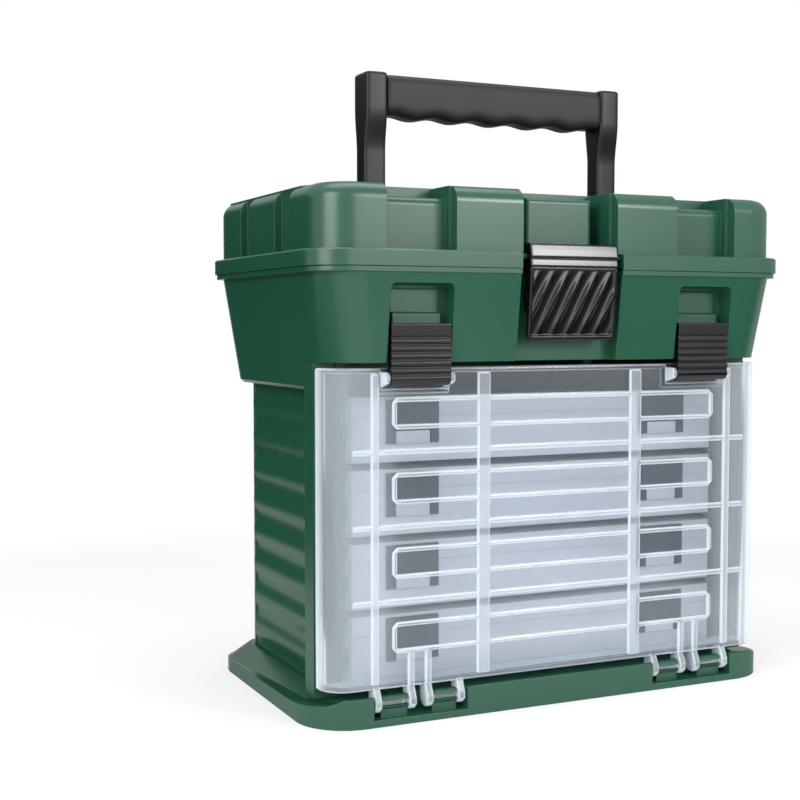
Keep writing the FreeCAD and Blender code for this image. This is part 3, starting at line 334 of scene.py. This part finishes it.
def clear_plastic(name, tint, milk, clear_share, edge_share, roughness,
                  line_mm, line_share, glow_share, rib_y=None):
    """See-through moulded plastic: a milky share that grows aslant and along edges, and gloss on top."""
    material, tree = new_material(name)
    place = add(tree, "ShaderNodeTexCoord").outputs["Object"]
    facing = add(tree, "ShaderNodeLayerWeight", {"Blend": 0.5}).outputs["Facing"]
    aslant = add(tree, "ShaderNodeMapRange", {
        "Value": facing, "From Min": 0.25, "From Max": 0.6,
        "To Min": clear_share, "To Max": edge_share,
    })
    eased = add(tree, "ShaderNodeBevel", {"Radius": line_mm * MM}, samples=8).outputs[0]
    plain = add(tree, "ShaderNodeNewGeometry").outputs["Normal"]
    likeness = add(tree, "ShaderNodeVectorMath", {0: eased, 1: plain}, operation="DOT_PRODUCT")
    line = add(tree, "ShaderNodeMapRange", {
        "Value": likeness.outputs["Value"], "From Min": 0.995, "From Max": 0.88,
        "To Min": 0.0, "To Max": line_share,
    })
    cloud = add(tree, "ShaderNodeTexNoise", {"Vector": place, "Scale": 1 / (60 * MM), "Detail": 3.0})
    haze = add(tree, "ShaderNodeMapRange", {"Value": cloud.outputs["Fac"], "To Min": 0.85, "To Max": 1.15})
    hazy = add(tree, "ShaderNodeMath", {0: aslant.outputs[0], 1: haze.outputs[0]}, operation="MULTIPLY")
    amount = add(tree, "ShaderNodeMath", {
        0: hazy.outputs[0], 1: line.outputs[0],
    }, operation="ADD", use_clamp=True)
    if rib_y is not None:
        parts = add(tree, "ShaderNodeSeparateXYZ", {0: place}).outputs
        rib = add(tree, "ShaderNodeMapRange", {
            "Value": parts["Y"], "From Min": rib_y * MM, "From Max": (rib_y - 0.5) * MM,
            "To Min": 0.0, "To Max": rib_share,
        })
        from_centre = add(tree, "ShaderNodeMath", {0: parts["X"]}, operation="ABSOLUTE")
        end = add(tree, "ShaderNodeMapRange", {
            "Value": from_centre.outputs[0], "From Min": end_reach[0] * MM, "From Max": end_reach[1] * MM,
            "To Min": 0.0, "To Max": end_share,
        })
        thick = add(tree, "ShaderNodeMath", {0: rib.outputs[0], 1: end.outputs[0]}, operation="ADD")
        amount = add(tree, "ShaderNodeMath", {
            0: amount.outputs[0], 1: thick.outputs[0],
        }, operation="ADD", use_clamp=True)
    view_through = add(tree, "ShaderNodeBsdfTransparent", {"Color": linear(tint)})
    front_lit = add(tree, "ShaderNodeBsdfDiffuse", {"Color": linear(milk), "Normal": eased})
    back_lit = add(tree, "ShaderNodeBsdfTranslucent", {"Color": linear(milk), "Normal": eased})
    body = add(tree, "ShaderNodeMixShader", {
        0: glow_share, 1: front_lit.outputs[0], 2: back_lit.outputs[0],
    })
    wall = add(tree, "ShaderNodeMixShader", {
        0: amount.outputs[0], 1: view_through.outputs[0], 2: body.outputs[0],
    })
    shine = add(tree, "ShaderNodeBsdfGlossy", {
        "Color": linear("#ffffff"), "Roughness": roughness, "Normal": eased,
    })
    fresnel = add(tree, "ShaderNodeFresnel", {"IOR": 1.35, "Normal": eased})
    surface = add(tree, "ShaderNodeMixShader", {
        0: fresnel.outputs[0], 1: wall.outputs[0], 2: shine.outputs[0],
    })
    close(tree, surface.outputs[0])
    return material


ear_reach = 7.4
door_face = span("front_door")[0][1] + ear_reach
clear_door = clear_plastic("clear_polypropylene", "#f4f8fb", "#e6eff7", 0.07, 0.97, 0.12, 1.2, 0.95, 0.15,
                           door_face - 0.2)

# %% [markdown]
# **Utility boxes.** The small boxes behind the door are frosted. They use the clear
# recipe with a milky share near its full, so that only a hint of what is inside
# shows. Their snap latches are plain opaque slate.

# %% Material: frosted boxes and their latches
box_plastic = clear_plastic("frosted_polypropylene", "#f2f2f8", "#fffafd", 0.93, 0.98, 0.25, 1.2, 0.1, 0.25)
dark_plastic = satin_plastic("slate_polypropylene", "#333e48", "#2f3a44", 0.4, 0.5, 0.02)

# %% [markdown]
# **Which piece gets which plastic.** A moulder would write this as a parts list, and
# so does the script: one table from the name of a node to its material.

# %% Dress the CAD nodes
finishes = {
    "base_plinth": green_plastic,
    "cabinet_shell": green_plastic,
    "upper_tub": green_plastic,
    "latch_catches": green_plastic,
    "lid_shell": green_plastic,
    "main_latch": latch_plastic,
    "door_latch_left": latch_plastic,
    "door_latch_right": latch_plastic,
    "handle_post_left": black_plastic,
    "handle_post_right": black_plastic,
    "handle_grip": grip_rubber,
    "front_door": clear_door,
}
for name in nodes:
    if name.startswith("utility_box"):
        finishes[name] = dark_plastic if name.endswith("latches") else box_plastic


def paint(obj, material):
    """Gives an object one material in place of what it had."""
    obj.data.materials.clear()
    obj.data.materials.append(material)


for name, material in finishes.items():
    paint(nodes[name], material)
print("painted:", len(finishes), "of", len(nodes))

# %% [markdown]
# **Surfaces from formulas.** The pieces below have skins that curve in two ways. Each
# is a grid of points worked out as one numpy array, and one helper turns a grid into
# a mesh: neighbouring points make four-sided faces, the grid closes on itself round
# the section, and a flat face closes each end.

# %% From a grid of points to a mesh
def skin(name, grid, material, body):
    """A mesh from points (rows, columns, 3) in mm. A face joins rows i, i + 1 and columns j, j + 1."""
    rows, columns = grid.shape[:2]
    index = np.arange(rows * columns).reshape(rows, columns)
    ring = np.hstack([index, index[:, :1]])
    quads = np.stack([ring[:-1, :-1], ring[:-1, 1:], ring[1:, 1:], ring[1:, :-1]], axis=-1)
    quads = quads.reshape(-1, 4)
    faces = quads.tolist() + [index[0, ::-1].tolist(), index[-1].tolist()]
    mesh = bpy.data.meshes.new(name)
    mesh.from_pydata((grid.reshape(-1, 3) * MM).tolist(), [], faces)
    mesh.update()
    mesh.polygons.foreach_set("use_smooth", np.arange(len(faces)) < len(quads))
    mesh.materials.append(material)
    obj = bpy.data.objects.new(name, mesh)
    bpy.context.scene.collection.objects.link(obj)
    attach(obj, body)
    print(name, "faces:", len(faces))
    return obj


def squircle(turn, half_a, half_b, power):
    """A rounded rectangle: a = A sgn(cos t) |cos t|^(2/p), b = B sgn(sin t) |sin t|^(2/p)."""
    a = np.sign(np.cos(turn)) * np.abs(np.cos(turn)) ** (2 / power) * half_a
    b = np.sign(np.sin(turn)) * np.abs(np.sin(turn)) ** (2 / power) * half_b
    return a, b


# %% [markdown]
# **Grip sleeve.** The hand closes on a soft sleeve, flat on top with round edges and
# with shallow finger waves below. A box with a bevel would do for the top, but not
# for a wave that also rounds across the sleeve. So the sleeve is a rounded
# rectangle carried along X, and only the lower half of each section is stretched,
# by a row of rounded bumps one finger wide.

# %% Grip sleeve
grip_low, grip_high = span("handle_grip")
finger_pitch = 25.0
fingers = 5
finger_depth = 1.8
grip_drop = 0.7
finger_fade = 3.0
grip_power = 4.5
end_pinch = 0.05
end_pinch_reach = 1.2

along = np.linspace(grip_low[0], grip_high[0], 241)[:, None]
turn = np.linspace(0, 2 * np.pi, 96, endpoint=False)[None, :]
half_y = (grip_high[1] - grip_low[1]) / 2
middle_y = (grip_high[1] + grip_low[1]) / 2
top_z = grip_high[2] - grip_drop
flat_z = grip_low[2] + finger_depth
half_z = (top_z - flat_z) / 2
across, up = squircle(turn, half_y, half_z, grip_power)
inside = np.clip((finger_pitch * fingers / 2 - np.abs(along)) / finger_fade, 0, 1)
bump = (0.5 + 0.5 * np.cos(2 * np.pi * along / finger_pitch)) * inside
end_ease = 1 - end_pinch * np.exp(-((np.abs(along) - grip_high[0]) / end_pinch_reach) ** 2)
lower = np.clip(-up / half_z, 0, 1) ** 0.5
grid = np.empty((along.size, turn.size, 3))
grid[..., 0] = along
grid[..., 1] = middle_y + across * end_ease
grid[..., 2] = (top_z + flat_z) / 2 + up * end_ease - finger_depth * bump * lower
grip = skin("grip_sleeve", grid, grip_rubber, "handle")
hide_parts("handle_grip")

# %% [markdown]
# **Handle posts.** Each post is a tapering bar: round where it turns in the lid, slim
# along its neck, and deep at its head, where it takes the sleeve. Sections could be
# joined by a loft tool, but the taper is one smooth curve of height, so each post is
# a stack of rounded rectangles whose depth follows that curve. The top closes over
# in a small dome, which catches the light as the moulded edge does.

# %% Handle posts
neck_depth = 12.4
head_depth = 18.6
foot_radius = 7.0
head_height = 19.0
shoulder_height = 24.0
edge_round = 1.6
post_half = 6.5
post_power = 7.0


def post_skin(name, side):
    """Rounded rectangles stacked in Z. Half depth is the foot's circle, then the neck, then the head."""
    low, high = span(name)
    pivot = low[2] + foot_radius
    height = np.concatenate([
        low[2] + 0.02 + foot_radius * (1 - np.cos(np.linspace(0, np.pi / 2, 18))),
        np.linspace(pivot + 0.5, high[2] - edge_round, 70),
        high[2] - edge_round * (1 - np.sin(np.linspace(0.1, np.pi / 2, 10))),
    ])[:, None]
    rise = np.clip((height - (high[2] - head_height - shoulder_height)) / shoulder_height, 0, 1)
    blend = rise * rise * (3 - 2 * rise)
    half = neck_depth / 2 + (head_depth - neck_depth) / 2 * blend
    foot = np.sqrt(np.clip(foot_radius ** 2 - (height - pivot) ** 2, 0.01, None))
    settle = np.clip((height - pivot) / 12, 0, 1)
    half = np.where(height < pivot, foot, foot_radius * (1 - settle) + half * settle)
    dome = np.clip((height - (high[2] - edge_round)) / edge_round, 0, 0.999)
    inset = edge_round * (1 - np.sqrt(1 - dome ** 2))
    across, deep = squircle(np.linspace(0, 2 * np.pi, 72, endpoint=False)[None, :], 1, 1, post_power)
    grid = np.empty((height.size, 72, 3))
    grid[..., 0] = side * (grip_high[0] + post_half) + across * (post_half - inset)
    grid[..., 1] = middle_y + deep * (half - inset)
    grid[..., 2] = height
    piece = skin(name + "_skin", grid, black_plastic, "handle")
    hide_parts(name)


post_skin("handle_post_left", -1)
post_skin("handle_post_right", 1)

# %% [markdown]
# **Main latch.** The broad black latch is the one piece that everybody touches, so it
# has the most shaping: a leaning cap, a second band below it, and slanting grip
# ridges that swell out of the blade. A CAD solid gives the ridges as flat bars. Here
# the whole latch is one side outline carried along its width, and the ground between
# the ridges is sunk into its front. Each ridge grows out of that ground under the
# cap, so its first third leans up and catches the light, and the rest is darker.

# %% Main latch
latch_low, latch_high = span("main_latch")
latch_half = (latch_high[0] - latch_low[0]) / 2
barrel = 6.4
proud = 0.2
axis_z = latch_high[2] - barrel
front_y = latch_low[1] + proud
ridge_pitch = 2 * latch_half / 6
ridge_slope = math.tan(math.radians(63))
ridge_depth = 1.3
ridge_run = 13.0
ridge_top = -6.6
ridge_field = (-41.0, -6.2)
ridge_margin = 1.4
lower_fade = 0.65
lower_fade_run = 20
blade_lean = 0.085
side_round = 0.7
flange_depth = 8.0
flange_thick = 2.0

# Height over the pivot and depth behind the front plane, from the top edge down
front_line = np.array([
    (6.1, 1.9), (5.6, 1.25), (3.0, 0.75), (0.0, 0.3), (-0.6, 0.3), (-0.9, 1.0), (-1.3, 1.3), (-1.7, 0.75),
    (-3.0, 0.5), (-4.9, 0.25), (-5.2, 0.3), (-5.6, 1.2), (-6.0, 1.2),
])
# Below the cap the blade leans back evenly to its foot
blade = np.linspace(ridge_top, -42.6, 60)
lean = 0.5 + blade_lean * (ridge_top - blade)
front_line = np.concatenate([front_line, np.stack([blade, lean], axis=1), [(-43.1, 4.4)]])
# The same round the back, from the foot up to the top
back_line = np.array([
    (-43.1, 5.4), (-42.0, 6.0), (-36.0, 5.4), (-30.0, 4.5), (-16.0, 4.3), (-9.0, 6.5), (-4.5, 10.9),
    (0.0, 12.8), (3.5, 12.0), (5.6, 9.5), (6.35, 6.4), (6.35, 3.2),
])


def resample(points, step):
    """Points at an even step along a broken line, each coordinate interpolated over the length walked."""
    walked = np.concatenate([[0], np.cumsum(np.hypot(*np.diff(points, axis=0).T))])
    stops = np.linspace(0, walked[-1], int(walked[-1] / step) + 1)
    return np.stack([np.interp(stops, walked, points[:, k]) for k in (0, 1)], axis=1)


def window(value, start, end, soft):
    """1 between start and end, falling to 0 over a soft margin on both sides."""
    return np.clip((value - start) / soft, 0, 1) * np.clip((end - value) / soft, 0, 1)


front_part = resample(front_line, 0.25)
back_part = resample(back_line, 1.0)
rise = np.concatenate([front_part[:, 0], back_part[:, 0]])[None, :]
depth = np.concatenate([front_part[:, 1], back_part[:, 1]])[None, :]
is_front = (np.arange(rise.size) < len(front_part))[None, :]
along = np.linspace(-latch_half, latch_half, 209)[:, None]
from_side = latch_half - np.abs(along)
wave = 0.5 + 0.5 * np.cos(2 * np.pi * (along - rise / ridge_slope) / ridge_pitch)
swell = np.sin(np.pi / 2 * np.clip((ridge_top - rise) / ridge_run, 0, 1))
fade = 1 - lower_fade * np.clip((ridge_top - ridge_run - rise) / lower_fade_run, 0, 1)
field = window(rise, *ridge_field, 1.0) * window(from_side, ridge_margin, 99, 0.8)
ridges = ridge_depth * (1 - swell * fade * wave ** 2) * field
side_ease = side_round * (1 - np.sqrt(1 - np.clip(1 - from_side / side_round, 0, 1) ** 2))
flange = (flange_depth - 4.4) * window(rise, -31.0, -12.0, 4.0) * (from_side < flange_thick)
foot_lift = (3 - np.sqrt(9 - np.clip(3 - from_side, 0, 3) ** 2)) * np.clip((-rise - 35) / 8, 0, 1)
grid = np.empty((along.size, rise.size, 3))
grid[..., 0] = along
grid[..., 1] = front_y + depth + np.where(is_front, ridges + side_ease, flange)
grid[..., 2] = axis_z + rise + foot_lift
latch = skin("main_latch_skin", grid, latch_plastic, "main_latch")
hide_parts("main_latch")

# %% [markdown]
# The latch's hook is a plain moulded bar behind the blade. It is the same carried
# outline with four corners, and is only seen when the latch is open.

# %% Hook of the main latch
hook_half = 14.0
hook_line = np.array([(-35.0, 4.8), (-31.0, 9.3), (-27.0, 9.3), (-25.0, 3.9)])
along = np.linspace(-hook_half, hook_half, 2)[:, None]
grid = np.empty((2, 4, 3))
grid[..., 0] = along
grid[..., 1] = front_y + hook_line[None, :, 1]
grid[..., 2] = axis_z + hook_line[None, :, 0]
skin("main_latch_hook", grid, latch_plastic, "main_latch")
